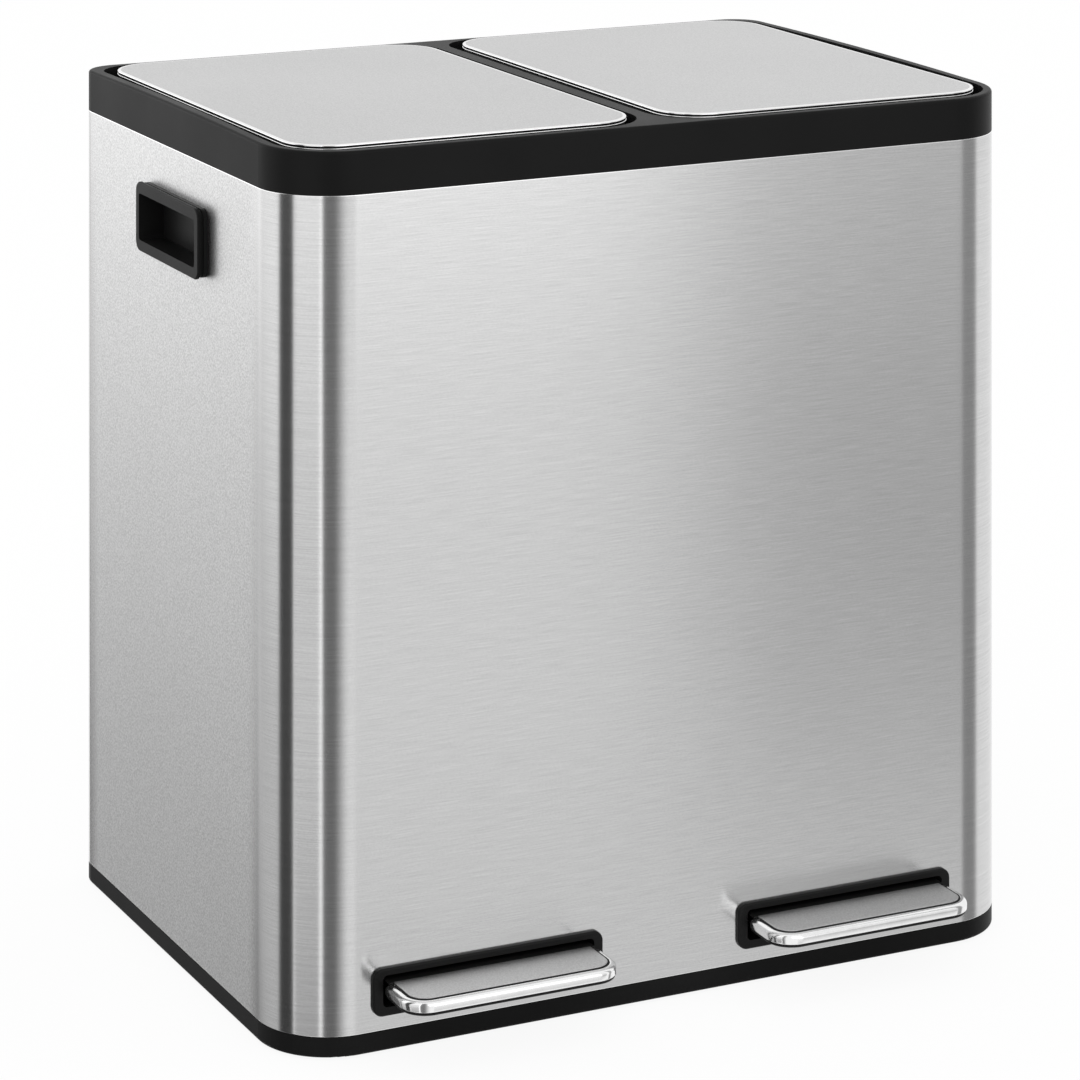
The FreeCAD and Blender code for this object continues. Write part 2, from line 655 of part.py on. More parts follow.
def axle_bracket(side):
    """U-shaped steel bracket on the floor of the tray that carries the lever's axle."""
    middle = side * PEDAL_X
    foot_y = about(PIVOT_Y, 16.0)
    parts = [box(about(middle, 30.0), foot_y, (FLOOR_TOP, FLOOR_TOP + BRACKET_T))]
    for sense in (-1, 1):
        xs = (middle + sense * CHEEK_AT, middle + sense * (CHEEK_AT + BRACKET_T))
        parts.append(box(xs, about(PIVOT_Y, 12.0), (FLOOR_TOP, PIVOT_Z)))
        parts.append(rod_x(xs, PIVOT_Y, PIVOT_Z, 12.0))
    upper = box(about(middle, 30.0), about(PIVOT_Y, 20.0), (PIVOT_Z + 7.0, PIVOT_Z + 20.0))
    bore = rod_x(about(middle, 30.0), PIVOT_Y, PIVOT_Z, AXLE_R)
    return cut(fuse(parts), [upper, bore] + bracket_screws(side))


def lever_axle(side):
    return rod_x(about(side * PEDAL_X, 22.0), PIVOT_Y, PIVOT_Z, AXLE_R)


def rings_on_axle(side, near, far, radius):
    middle = side * PEDAL_X
    rings = []
    for sense in (-1, 1):
        xs = (middle + sense * near, middle + sense * far)
        rings.append(rod_x(xs, PIVOT_Y, PIVOT_Z, radius).cut(rod_x(xs, PIVOT_Y, PIVOT_Z, AXLE_R)))
    return rings


def lever_bushes(side):
    """Spacers between the lever's lugs and the bracket's cheeks."""
    return rings_on_axle(side, LEVER_HALF_W + 0.3, CHEEK_AT - 0.1, 6.5)


def axle_clips(side):
    """Rings that keep the axle in its bracket."""
    near = CHEEK_AT + BRACKET_T + 0.1
    return rings_on_axle(side, near, near + 1.2, 6.5)


# ---------------------------------------------------------------- push rod and damper
PUSHER_TOP = ROLLER_Z - ROLLER_R - ROLLER_PLAY
PUSHER_FOOT = (486.0, 494.0)
PUSHER_YS = (HINGE_Y - 25.2, HINGE_Y - 11.2)
ROD_FOOT_PLAY = 1.0
ROD_FOOT_LOW = LEVER_TOP + ROD_FOOT_PLAY
ROD_FOOT_H = 6.0
DAMPER_ZS = (250.0, 400.0)
DAMPER_R = 7.5
DAMPER_BORE = 6.0
COVER_HALF = 25.0
COVER_T = 2.0
PISTON_ROD_R = 2.0
LINK_ZS = (164.0, 174.0)


def push_rod(side):
    return rod_z(side * PEDAL_X, ROD_Y, (ROD_FOOT_LOW + 2.0, PUSHER_FOOT[1] - 1.0), ROD_R)


def pusher_head(side):
    """Block on top of the rod whose post reaches through the shelf, under the lid's roller."""
    middle = side * PEDAL_X
    post = box(about(middle, 4.5), PUSHER_YS, (PUSHER_FOOT[0], PUSHER_TOP))
    foot = box(about(middle, 7.0), (PUSHER_YS[0], ROD_Y + 7.0), PUSHER_FOOT)
    return fuse([post, foot]).cut(push_rod(side))


def rod_foot(side):
    """Rubber foot at the bottom of the rod that the lever's end lifts."""
    foot = rod_z(side * PEDAL_X, ROD_Y, (ROD_FOOT_LOW, ROD_FOOT_LOW + ROD_FOOT_H), 5.0)
    foot = foot.makeChamfer(1.5, edges_at(foot, "Z", ROD_FOOT_LOW))
    return foot.cut(push_rod(side))


def rod_cover(side):
    """Channel on the back wall, from the deck to the shelf, that keeps the rod clear of the bucket."""
    middle = side * PEDAL_X
    front = SHELF_FRONT + SHELF_LIP_T + 0.2
    back = BACK - SHELL_T - 0.1
    zs = (DECK_TOP, SHELF_TOP - SHELF_T)
    outer = box(about(middle, COVER_HALF + COVER_T), (front, back), zs)
    inner = box(about(middle, COVER_HALF), (front + COVER_T, back), zs)
    return outer.cut(inner)


def rod_guides(side):
    """Upper and lower guide blocks inside the cover."""
    middle = side * PEDAL_X
    blocks = []
    for z0 in (100.0, 440.0):
        zs = (z0, z0 + 10.0)
        block = box(about(middle, COVER_HALF), about(ROD_Y, 7.0), zs)
        blocks.append(block.cut(rod_z(middle, ROD_Y, zs, ROD_R + FIT)))
    return blocks


def damper_x(side):
    return side * (PEDAL_X + DAMPER_OFFSET)


def damper_cylinder(side):
    """Closed tube with a bottom cap that the piston rod runs through."""
    z0, z1 = DAMPER_ZS
    cap = 3.0
    x = damper_x(side)
    tube = rod_z(x, ROD_Y, DAMPER_ZS, DAMPER_R)
    bore = rod_z(x, ROD_Y, (z0 + cap, z1 - cap), DAMPER_BORE)
    throat = rod_z(x, ROD_Y, (z0, z0 + cap), PISTON_ROD_R + 0.4)
    return cut(tube, [bore, throat])


def damper_clamps(side):
    """Two blocks that hold the cylinder to the cover's side."""
    clamps = []
    for z0 in (262.0, 378.0):
        xs = from_middle(side, PEDAL_X + DAMPER_OFFSET - 4.0, PEDAL_X + COVER_HALF)
        block = box(xs, about(ROD_Y, 11.0), (z0, z0 + 10.0))
        clamps.append(block.cut(rod_z(damper_x(side), ROD_Y, (z0, z0 + 10.0), DAMPER_R)))
    return clamps


def damper_piston(side):
    x = damper_x(side)
    head_low = DAMPER_ZS[0] + 25.0
    head = rod_z(x, ROD_Y, (head_low, head_low + 10.0), DAMPER_BORE - 0.5)
    stem = rod_z(x, ROD_Y, (LINK_ZS[0] + 1.0, head_low), PISTON_ROD_R)
    return fuse([head, stem])


def damper_link(side):
    """Bar that ties the damper's piston rod to the push rod."""
    xs = from_middle(side, PEDAL_X - 6.0, PEDAL_X + DAMPER_OFFSET + 6.0)
    bar = box(xs, about(ROD_Y, 6.0), LINK_ZS)
    return cut(bar, [push_rod(side), damper_piston(side)])


# ---------------------------------------------------------------- buckets
def bucket(side):
    """Tapered lift-out bucket with a rolled rim and a wider grip lip at front and back."""
    low = DECK_TOP
    floor = low + 2.5
    rim_h = 8.0
    rim_t = 2.0
    corner = 30.0
    near, far = BUCKET_INNER_X, BUCKET_OUTER_X

    def section(inset, z):
        xs = from_middle(side, near + inset, far - inset)
        radius = corner + BUCKET_RIM - inset * 0.5
        return rounded_wire(xs, (BUCKET_FRONT + inset, BUCKET_BACK - inset), (radius,) * 4, z)

    top_in = BUCKET_RIM
    bottom_in = BUCKET_RIM + BUCKET_TAPER
    body = Part.makeLoft([section(bottom_in, low), section(top_in, BUCKET_TOP)], True, True)
    cavity = Part.makeLoft([section(bottom_in + BUCKET_WALL, floor),
                            section(top_in + BUCKET_WALL, BUCKET_TOP)], True, True)
    rim_zs = (BUCKET_TOP - rim_h, BUCKET_TOP)
    rim = Part.Face(section(0, rim_zs[0])).extrude(V(0, 0, rim_h))
    under = Part.Face(section(rim_t, rim_zs[0])).extrude(V(0, 0, rim_h - rim_t))
    ring = rim.cut(under)
    return fuse([body, ring]).cut(cavity)


# ---------------------------------------------------------------- write the nodes
def both_sides(make):
    """Like pieces of the left and right side, which share one node."""
    return [shape for side, _ in SIDES for shape in make(side)]


save("outer_shell", [outer_shell()])
save("base_tray", [cut(base_tray(), both_sides(bracket_screws))])
save("bucket_deck", [deck()])
save("feet", feet())
rim = cut(top_frame(), both_sides(hinge_screws))
save("top_frame", [rim])
save("lid_bumpers", bumpers())
save("hinge_pins", both_sides(hinge_pins))
save("hinge_screws", both_sides(hinge_screws))
save("bracket_screws", both_sides(bracket_screws))
save("lever_bushes", both_sides(lever_bushes))
save("axle_clips", both_sides(axle_clips))
save("rod_guides", both_sides(rod_guides))
save("damper_clamps", both_sides(damper_clamps))

for side, name in SIDES:
    save("handle_" + name, [handle(side)])
    save("handle_retainer_" + name, [handle_retainer(side)])
    save("pedal_bezel_" + name, [pedal_bezel(side)])
    save("lid_plate_" + name, [lid_plate(side)])
    save("lid_frame_" + name, [cut(lid_frame(side), lift_screws(side))])
    save("lift_bracket_" + name, [cut(lift_bracket(side), lift_screws(side))])
    save("lift_roller_" + name, [lift_roller(side)])
    save("lift_screws_" + name, lift_screws(side))
    save("hinge_brackets_" + name, hinge_brackets(side))
    save("pedal_cap_" + name, [pedal_cap(side)])
    save("pedal_lever_" + name, [cut(pedal_lever(side), pedal_screws(side))])
    save("pedal_shoe_" + name, [cut(pedal_shoe(side), pedal_screws(side))])
    save("pedal_screws_" + name, pedal_screws(side))
    save("axle_bracket_" + name, [axle_bracket(side)])
    save("lever_axle_" + name, [lever_axle(side)])
    save("push_rod_" + name, [push_rod(side)])
    save("pusher_head_" + name, [pusher_head(side)])
    save("rod_foot_" + name, [rod_foot(side)])
    save("rod_cover_" + name, [rod_cover(side).cut(rim)])
    save("damper_cylinder_" + name, [damper_cylinder(side)])
    save("damper_piston_" + name, [damper_piston(side)])
    save("damper_link_" + name, [damper_link(side)])
    save("bucket_" + name, [bucket(side)])
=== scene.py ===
import bpy
import bmesh
import json
import math
from mathutils import Matrix, Vector


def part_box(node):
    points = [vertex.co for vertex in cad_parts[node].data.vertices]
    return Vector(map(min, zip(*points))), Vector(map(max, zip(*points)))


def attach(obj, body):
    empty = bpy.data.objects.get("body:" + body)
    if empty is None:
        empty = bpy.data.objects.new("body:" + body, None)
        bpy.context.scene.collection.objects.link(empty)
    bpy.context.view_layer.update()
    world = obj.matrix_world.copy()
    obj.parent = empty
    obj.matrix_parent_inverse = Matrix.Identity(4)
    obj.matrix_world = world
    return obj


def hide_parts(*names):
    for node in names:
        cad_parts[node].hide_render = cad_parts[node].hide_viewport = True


# Looks of the double recycling bin: finishes, finely rounded sheet-metal skins, studio and camera.
# Metres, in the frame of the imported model: +X right, -Y front, +Z up, floor at Z = 0.

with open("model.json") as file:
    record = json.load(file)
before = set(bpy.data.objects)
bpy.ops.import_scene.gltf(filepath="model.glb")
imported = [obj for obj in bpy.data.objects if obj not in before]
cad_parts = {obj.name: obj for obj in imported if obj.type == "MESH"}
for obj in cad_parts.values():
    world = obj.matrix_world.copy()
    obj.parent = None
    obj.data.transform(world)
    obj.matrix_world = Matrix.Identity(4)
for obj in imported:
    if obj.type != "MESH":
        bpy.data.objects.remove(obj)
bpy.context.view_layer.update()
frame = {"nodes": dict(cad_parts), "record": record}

MM = 0.001
SIDES = ("left", "right")

FRONT_CORNER_R = 48 * MM
BACK_CORNER_R = 24 * MM


# ---------------------------------------------------------------- node graphs
NOISE_LOW = 0.3              # most values of a noise texture lie between these two
NOISE_HIGH = 0.7


def grey(tone):
    return (tone, tone, tone, 1.0)


class Graph:
    """The node graph of a new material, and short ways to add nodes to it."""

    def __init__(self, name):
        self.material = bpy.data.materials.new(name)
        self.material.use_nodes = True
        self.tree = self.material.node_tree

    def node(self, kind, **settings):
        made = self.tree.nodes.new(kind)
        for key, value in settings.items():
            setattr(made, key, value)
        return made

    def link(self, start, end):
        self.tree.links.new(start, end)

    def calculate(self, operation, first, second):
        """The result of a math node. Each side is a number or the output of a node."""
        made = self.node("ShaderNodeMath", operation=operation)
        for index, value in enumerate((first, second)):
            if isinstance(value, (int, float)):
                made.inputs[index].default_value = value
            else:
                self.link(value, made.inputs[index])
        return made.outputs["Value"]

    def add(self, first, second):
        return self.calculate("ADD", first, second)

    def times(self, first, second):
        return self.calculate("MULTIPLY", first, second)

    def coordinates(self, space):
        """The outputs X, Y and Z that hold the point's coordinates in a texture space."""
        where = self.node("ShaderNodeTexCoord")
        split = self.node("ShaderNodeSeparateXYZ")
        self.link(where.outputs[space], split.inputs["Vector"])
        return split.outputs

    def spread(self, value, low, high, near=NOISE_LOW, far=NOISE_HIGH, curve="LINEAR"):
        """Maps a value between near and far to a range from low to high."""
        ranged = self.node("ShaderNodeMapRange", interpolation_type=curve)
        ranged.inputs["From Min"].default_value = near
        ranged.inputs["From Max"].default_value = far
        ranged.inputs["To Min"].default_value = low
        ranged.inputs["To Max"].default_value = high
        self.link(value, ranged.inputs["Value"])
        return ranged.outputs["Result"]


class Finish(Graph):
    """A Principled material, with short ways to vary its colour, roughness and surface."""

    def __init__(self, name, tone, metallic, roughness):
        super().__init__(name)
        self.bsdf = self.tree.nodes["Principled BSDF"]
        self.set("Base Color", grey(tone))
        self.set("Metallic", metallic)
        self.set("Roughness", roughness)

    def set(self, socket, value):
        self.bsdf.inputs[socket].default_value = value

    def noise(self, scale, detail, roughness, stretch=(1, 1, 1), offset=(0, 0, 0)):
        """Noise in object space, whose grain is drawn out along an axis by a small stretch there."""
        where = self.node("ShaderNodeTexCoord")
        mapping = self.node("ShaderNodeMapping")
        mapping.inputs["Scale"].default_value = stretch
        mapping.inputs["Location"].default_value = offset
        noise = self.node("ShaderNodeTexNoise")
        noise.inputs["Scale"].default_value = scale
        noise.inputs["Detail"].default_value = detail
        noise.inputs["Roughness"].default_value = roughness
        self.link(where.outputs["Object"], mapping.inputs["Vector"])
        self.link(mapping.outputs["Vector"], noise.inputs["Vector"])
        return noise.outputs["Fac"]

    def mix(self, factor, first, second):
        blend = self.node("ShaderNodeMix", data_type="FLOAT")
        self.link(factor, blend.inputs["Factor"])
        self.link(first, blend.inputs["A"])
        self.link(second, blend.inputs["B"])
        return blend.outputs["Result"]

    def tint(self, value, dark, light):
        """Grey base colour that runs from dark to light with a value between 0 and 1."""
        mix = self.node("ShaderNodeMix", data_type="RGBA")
        mix.inputs["A"].default_value = grey(dark)
        mix.inputs["B"].default_value = grey(light)
        self.link(value, mix.inputs["Factor"])
        self.link(mix.outputs["Result"], self.bsdf.inputs["Base Color"])

    def roughen(self, value):
        self.link(value, self.bsdf.inputs["Roughness"])

    def bump(self, height, strength, distance):
        bump = self.node("ShaderNodeBump")
        bump.inputs["Strength"].default_value = strength
        bump.inputs["Distance"].default_value = distance
        self.link(height, bump.inputs["Height"])
        self.link(bump.outputs["Normal"], self.bsdf.inputs["Normal"])

    def stretch_highlights(self, amount, direction):
        """Draws highlights out along a direction, which is square to the brush lines."""
        self.set("Anisotropic", amount)
        vector = self.node("ShaderNodeCombineXYZ")
        for name, value in zip("XYZ", direction):
            vector.inputs[name].default_value = value
        self.link(vector.outputs["Vector"], self.bsdf.inputs["Tangent"])


# ---------------------------------------------------------------- finishes
FLANK_BLEND = 16 * MM        # length over which a brushed corner turns into a satin flank
# How much of each noise the brush lines hold, and the lift that keeps their middle where it was.
FINE_SHARE = 0.16
BROAD_SHARE = 0.04
GRIT_SHARE = 0.12
LINES_LIFT = 0.34


def flank_mask(m):
    """1 on the shell's two flat sides, and 0 on its front, its back and its rounded corners."""
    low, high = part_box("outer_shell")
    front_end = low.y + FRONT_CORNER_R
    back_end = high.y - BACK_CORNER_R
    y = m.coordinates("Object")["Y"]
    behind = m.spread(y, 0.0, 1.0, near=front_end, far=front_end + FLANK_BLEND)
    ahead = m.spread(y, 1.0, 0.0, near=back_end - FLANK_BLEND, far=back_end)
    return m.times(behind, ahead)


def wall_steel():
    """Sheet with fine horizontal brush lines on its front, back and corners, and satin flanks."""
    m = Finish("wall_steel", 0.62, metallic=1.0, roughness=0.22)
    m.stretch_highlights(0.5, (0, 0, 1))
    fine = m.noise(1.0, detail=1.0, roughness=0.5, stretch=(42, 42, 1900))
    broad = m.noise(1.0, detail=3.0, roughness=0.6, stretch=(14, 14, 520), offset=(3.1, 1.7, 0.4))
    cloud = m.noise(5.0, detail=2.0, roughness=0.5)
    grit = m.noise(780.0, detail=2.0, roughness=0.8)
    flank = flank_mask(m)
    brushed = m.add(m.times(fine, FINE_SHARE), m.times(broad, BROAD_SHARE))
    brushed = m.add(m.add(brushed, m.times(grit, GRIT_SHARE)), LINES_LIFT)
    lines = m.mix(flank, brushed, grit)
    m.tint(m.spread(lines, 0.0, 1.0, near=0.38, far=0.62), dark=0.5, light=0.74)
    base = m.mix(flank, m.spread(cloud, 0.17, 0.2), m.spread(cloud, 0.36, 0.39))
    m.roughen(m.add(base, m.spread(lines, -0.015, 0.015)))
    m.bump(lines, strength=0.1, distance=0.02 * MM)
    return m.material


def lid_steel():
    """Fine satin sheet with hardly any direction in it."""
    m = Finish("lid_steel", 0.57, metallic=1.0, roughness=0.36)
    m.stretch_highlights(0.3, (0, 1, 0))
    grain = m.noise(1100.0, detail=1.0, roughness=0.6, stretch=(1, 0.6, 1))
    cloud = m.noise(7.0, detail=2.0, roughness=0.5)
    m.tint(m.spread(grain, 0.0, 1.0), dark=0.5, light=0.62)
    m.roughen(m.spread(cloud, 0.34, 0.39))
    m.bump(grain, strength=0.08, distance=0.02 * MM)
    return m.material


def polished_steel():
    """Buffed edges with a faint haze."""
    m = Finish("polished_steel", 0.86, metallic=1.0, roughness=0.13)
    haze = m.noise(160.0, detail=3.0, roughness=0.6)
    m.roughen(m.spread(haze, 0.11, 0.15))
    m.tint(m.spread(haze, 0.0, 1.0), dark=0.84, light=0.9)
    m.bump(haze, strength=0.02, distance=0.03 * MM)
    return m.material


def moulded(name, tone, roughness, texture=1400.0, specular=0.3):
    """Moulded plastic or rubber with a fine spark-eroded grain and slightly uneven sheen."""
    m = Finish(name, tone, metallic=0.0, roughness=roughness)
    m.set("Specular IOR Level", specular)
    grain = m.noise(texture, detail=2.0, roughness=0.6)
    cloud = m.noise(11.0, detail=3.0, roughness=0.55)
    m.tint(m.spread(cloud, 0.0, 1.0), dark=tone * 0.88, light=tone * 1.14)
    sheen = m.spread(cloud, roughness - 0.04, roughness + 0.04)
    m.roughen(m.add(sheen, m.spread(grain, -0.03, 0.03)))
    m.bump(grain, strength=0.25, distance=0.04 * MM)
    return m.material


def plain_metal(name, tone, roughness, stretch=(300, 300, 300)):
    """Plated or drawn metal of the parts inside."""
    m = Finish(name, tone, metallic=1.0, roughness=roughness)
    grain = m.noise(1.0, detail=3.0, roughness=0.6, stretch=stretch)
    m.tint(m.spread(grain, 0.0, 1.0), dark=tone * 0.85, light=tone * 1.1)
    m.roughen(m.spread(grain, roughness - 0.06, roughness + 0.08))
    m.bump(grain, strength=0.1, distance=0.03 * MM)
    return m.material


FINISHES = {
    "shell_steel": wall_steel(),
    "lid_steel": lid_steel(),
    "polished_steel": polished_steel(),
    "black_plastic": moulded("rim_plastic", 0.0085, 0.42, specular=0.06),
    "handle_plastic": moulded("handle_plastic", 0.008, 0.42, specular=0.08),
    "bezel_plastic": moulded("bezel_plastic", 0.007, 0.42, specular=0.12),
    "shoe_plastic": moulded("shoe_plastic", 0.008, 0.4, specular=0.15),
    "inner_plastic": moulded("inner_plastic", 0.02, 0.55, texture=900.0),
    "bucket_plastic": moulded("bucket_plastic", 0.03, 0.48, texture=700.0),
    "rubber": moulded("rubber", 0.02, 0.8, texture=600.0, specular=0.2),
    "nylon": moulded("nylon", 0.6, 0.4, texture=500.0),
    "plated_steel": plain_metal("plated_steel", 0.5, 0.34),
    "pin_steel": plain_metal("pin_steel", 0.55, 0.26, stretch=(500, 500, 60)),
    "screw_steel": plain_metal("screw_steel", 0.45, 0.36),
    "damper_aluminium": plain_metal("damper_aluminium", 0.6, 0.3, stretch=(400, 400, 40)),
}


def dress_cad_nodes():
    """Gives every carried-over CAD node the finish of its material slot."""
    for entry in frame["record"]["subparts"]:
        mesh = frame["nodes"][entry["node"]].data
        mesh.materials.clear()
        mesh.materials.append(FINISHES[entry["material_slot"]])


# ---------------------------------------------------------------- mesh helpers
CORNER_STEPS = 40
WIRE_STEPS = 16
SUPPORT = 1.2 * MM           # a row of points this far past a bend keeps the flat beside it flat
LEAST_R = 0.2 * MM           # an inset never makes a corner sharper than this
SMOOTH_DEG = 40.0            # bends below this angle are shaded smooth
CUT_SMOOTH_DEG = 30.0        # the same after windows are cut


def corner_outline(xs, ys, radii, steps):
    """Rounded rectangle, counter-clockwise, with a support point beside each corner's ends."""
    (x0, x1), (y0, y1) = sorted(xs), sorted(ys)
    corners = ((x0, y0, 1, 1), (x1, y0, -1, 1), (x1, y1, -1, -1), (x0, y1, 1, -1))
    points = []
    for quarter, ((cx, cy, dx, dy), r) in enumerate(zip(corners, radii)):
        start = math.pi + quarter * math.pi / 2
        mx, my = cx + dx * r, cy + dy * r
        tangent = Vector((-math.sin(start), math.cos(start)))
        first = Vector((mx + r * math.cos(start), my + r * math.sin(start)))
        points.append(first - tangent * SUPPORT)
        for step in range(steps + 1):
            angle = start + math.pi / 2 * step / steps
            points.append(Vector((mx + r * math.cos(angle), my + r * math.sin(angle))))
        end = start + math.pi / 2
        tangent = Vector((-math.sin(end), math.cos(end)))
        points.append(points[-1] + tangent * SUPPORT)
    return points


def ring_maker(xs, ys, radii, steps=CORNER_STEPS):
    """Returns a function that gives the outline moved inwards by an inset, at a level."""
    def ring(inset, level):
        inner_xs = (min(xs) + inset, max(xs) - inset)
        inner_ys = (min(ys) + inset, max(ys) - inset)
        inner_radii = [max(r - inset, LEAST_R) for r in radii]
        outline = corner_outline(inner_xs, inner_ys, inner_radii, steps)
        return [Vector((p.x, p.y, level)) for p in outline]
    return ring


def arc_points(centre, radius, start, end, steps=8):
    """Points (inset, level) on an arc, between two angles in degrees from the inward direction."""
    points = []
    for step in range(steps + 1):
        angle = math.radians(start + (end - start) * step / steps)
        points.append((centre[0] + radius * math.cos(angle), centre[1] + radius * math.sin(angle)))
    return points


def mesh_object(name, vertices, faces, material):
    """A piece made of faces, with its normals turned outwards and its shading smooth."""
    mesh = bpy.data.meshes.new(name)
    mesh.from_pydata([tuple(v) for v in vertices], [], faces)
    mesh.validate()
    made = bpy.data.objects.new(name, mesh)
    bpy.context.scene.collection.objects.link(made)
    clean = bmesh.new()
    clean.from_mesh(mesh)
    bmesh.ops.recalc_face_normals(clean, faces=clean.faces)
    clean.to_mesh(mesh)
    clean.free()
    mesh.shade_smooth()
    mesh.set_sharp_from_angle(angle=math.radians(SMOOTH_DEG))
    mesh.materials.append(material)
    return made


def skin(name, rings, material, closed=True, transform=None):
    """Sweeps a profile of rings into a solid. Closed joins last to first; otherwise ends are filled."""
    count = len(rings[0])
    vertices = [point for ring in rings for point in ring]
    if transform is not None:
        vertices = [transform @ point for point in vertices]
    faces = []
    pairs = len(rings) if closed else len(rings) - 1
    for k in range(pairs):
        a, b = k * count, (k + 1) % len(rings) * count
        for i in range(count):
            j = (i + 1) % count
            faces.append((a + i, a + j, b + j, b + i))
    if not closed:
        faces.append(tuple(range(count))[::-1])
        faces.append(tuple(range((len(rings) - 1) * count, len(rings) * count)))
    return mesh_object(name, vertices, faces, material)


def swept(name, ring, profile, finish, closed=True):
    """A piece with a profile of (inset, level) points, carried round an outline."""
    return skin(name, [ring(*point) for point in profile], FINISHES[finish], closed)


def bead_ring(name, ring, inset, level, radius):
    """A polished round wire that follows an outline, with its centre at an inset and a level."""
    last = 360 - 360 / WIRE_STEPS
    wire = arc_points((inset, level), radius, 0, last, WIRE_STEPS - 1)
    return swept(name, ring, wire, "polished_steel")


def cut_with(target, cutters):
    """Cuts each cutter out of a piece and removes the cutter."""
    for cutter in cutters:
        modifier = target.modifiers.new("cut", "BOOLEAN")
        modifier.operation = "DIFFERENCE"
        modifier.solver = "EXACT"
        modifier.object = cutter
    bpy.context.view_layer.update()
    evaluated = target.evaluated_get(bpy.context.evaluated_depsgraph_get())
    mesh = bpy.data.meshes.new_from_object(evaluated)
    target.modifiers.clear()
    target.data = mesh
    for cutter in cutters:
        bpy.data.objects.remove(cutter)
    mesh.set_sharp_from_angle(angle=math.radians(CUT_SMOOTH_DEG))


def place(piece, body, slot, *replaced):
    """Rides a piece on its body and hides the CAD nodes that it stands for. The slot argument is not
    used.
    """
    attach(piece, body)
    if replaced:
        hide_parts(*replaced)


# ---------------------------------------------------------------- outer shell
SHELL_T = 0.6 * MM
HEM_R = 0.65 * MM
# How far each window's edge lies inside the frame that covers it, and the windows' corners.
CUP_MARGIN_Y = 3.9 * MM
CUP_MARGIN_Z = 5.25 * MM
CUP_WINDOW_R = 4 * MM
BEZEL_MARGIN_X = 3.7 * MM
BEZEL_MARGIN_BELOW = 3.0 * MM
BEZEL_MARGIN_ABOVE = 1.4 * MM
BEZEL_WINDOW_R = 5 * MM
CUT_REACH = 6 * MM           # how far a cutter reaches to each side of the sheet
WINDOW_STEPS = 8
# These stand a flat outline up, so that it faces along X or along Y.
FACING_X = Matrix(((0, 0, 1, 0), (1, 0, 0, 0), (0, 1, 0, 0), (0, 0, 0, 1)))
FACING_Y = Matrix(((1, 0, 0, 0), (0, 0, 1, 0), (0, 1, 0, 0), (0, 0, 0, 1)))
SEAM_HALF = 5 * MM
SEAM_DEPTH = 0.45 * MM
SEAM_CREST = 0.98            # share of that depth that its arched face rises
SEAM_STEPS = 10
SEAM_END = 1.0 * MM


def window_cutter(low, high, axis, radius):
    """A block with rounded corners, through the sheet along X or Y, between two corners."""
    if axis == "X":
        ring = ring_maker((low.y, high.y), (low.z, high.z), (radius,) * 4, WINDOW_STEPS)
        rings = [ring(0, low.x), ring(0, high.x)]
        turn = FACING_X
    else:
        ring = ring_maker((low.x, high.x), (low.z, high.z), (radius,) * 4, WINDOW_STEPS)
        rings = [ring(0, low.y), ring(0, high.y)]
        turn = FACING_Y
    return skin("window_cutter", rings, FINISHES["shell_steel"], closed=False, transform=turn)


def window_cutters(low, high):
    """Blocks for the finger cups in the sides of the shell and for the pedals in its front."""
    cutters = []
    for side in SIDES:
        a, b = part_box("handle_" + side)
        wall = low.x if side == "left" else high.x
        p = Vector((wall - CUT_REACH, a.y + CUP_MARGIN_Y, a.z + CUP_MARGIN_Z))
        q = Vector((wall + CUT_REACH, b.y - CUP_MARGIN_Y, b.z - CUP_MARGIN_Z))
        cutters.append(window_cutter(p, q, "X", CUP_WINDOW_R))
        a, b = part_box("pedal_bezel_" + side)
        p = Vector((a.x + BEZEL_MARGIN_X, low.y - CUT_REACH, a.z + BEZEL_MARGIN_BELOW))
        q = Vector((b.x - BEZEL_MARGIN_X, low.y + CUT_REACH, b.z - BEZEL_MARGIN_ABOVE))
        cutters.append(window_cutter(p, q, "Y", BEZEL_WINDOW_R))
    return cutters


def outer_shell():
    """The wrapped sheet with its window cut-outs, and the bright rolled hems at its two ends."""
    low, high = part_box("outer_shell")
    radii = (FRONT_CORNER_R, FRONT_CORNER_R, BACK_CORNER_R, BACK_CORNER_R)
    ring = ring_maker((low.x, high.x), (low.y, high.y), radii)
    levels = (low.z + HEM_R, high.z - HEM_R)
    sheet = [(0, levels[0]), (0, levels[1]), (SHELL_T, levels[1]), (SHELL_T, levels[0])]
    shell = swept("steel_wrap", ring, sheet, "shell_steel")
    for name, level in zip(("hem_bottom", "hem_top"), levels):
        hem = bead_ring(name, ring, HEM_R, level, HEM_R)
        place(hem, "bin_body", "shell_steel", "outer_shell")
    cut_with(shell, window_cutters(low, high))
    place(shell, "bin_body", "shell_steel", "outer_shell")


def back_seam():
    """Folded seam down the back. It lies within the sheet's thickness, so the back looks plain."""
    low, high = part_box("outer_shell")
    vertices = []
    for z in (low.z + SEAM_END, high.z - SEAM_END):
        for step in range(SEAM_STEPS + 1):
            t = step / SEAM_STEPS * 2 - 1
            rise = SEAM_DEPTH * (1 - t * t) ** 0.5
            vertices.append(Vector((SEAM_HALF * t, high.y - SEAM_DEPTH + rise * SEAM_CREST, z)))
    count = SEAM_STEPS + 1
    faces = [(i, i + 1, count + i + 1, count + i) for i in range(SEAM_STEPS)]
    faces.append((0, count, 2 * count - 1, count - 1))
    faces.append(tuple(range(count))[::-1])
    faces.append(tuple(range(count, 2 * count)))
    bead = mesh_object("back_seam", vertices, faces, FINISHES["shell_steel"])
    place(bead, "bin_body", "shell_steel")


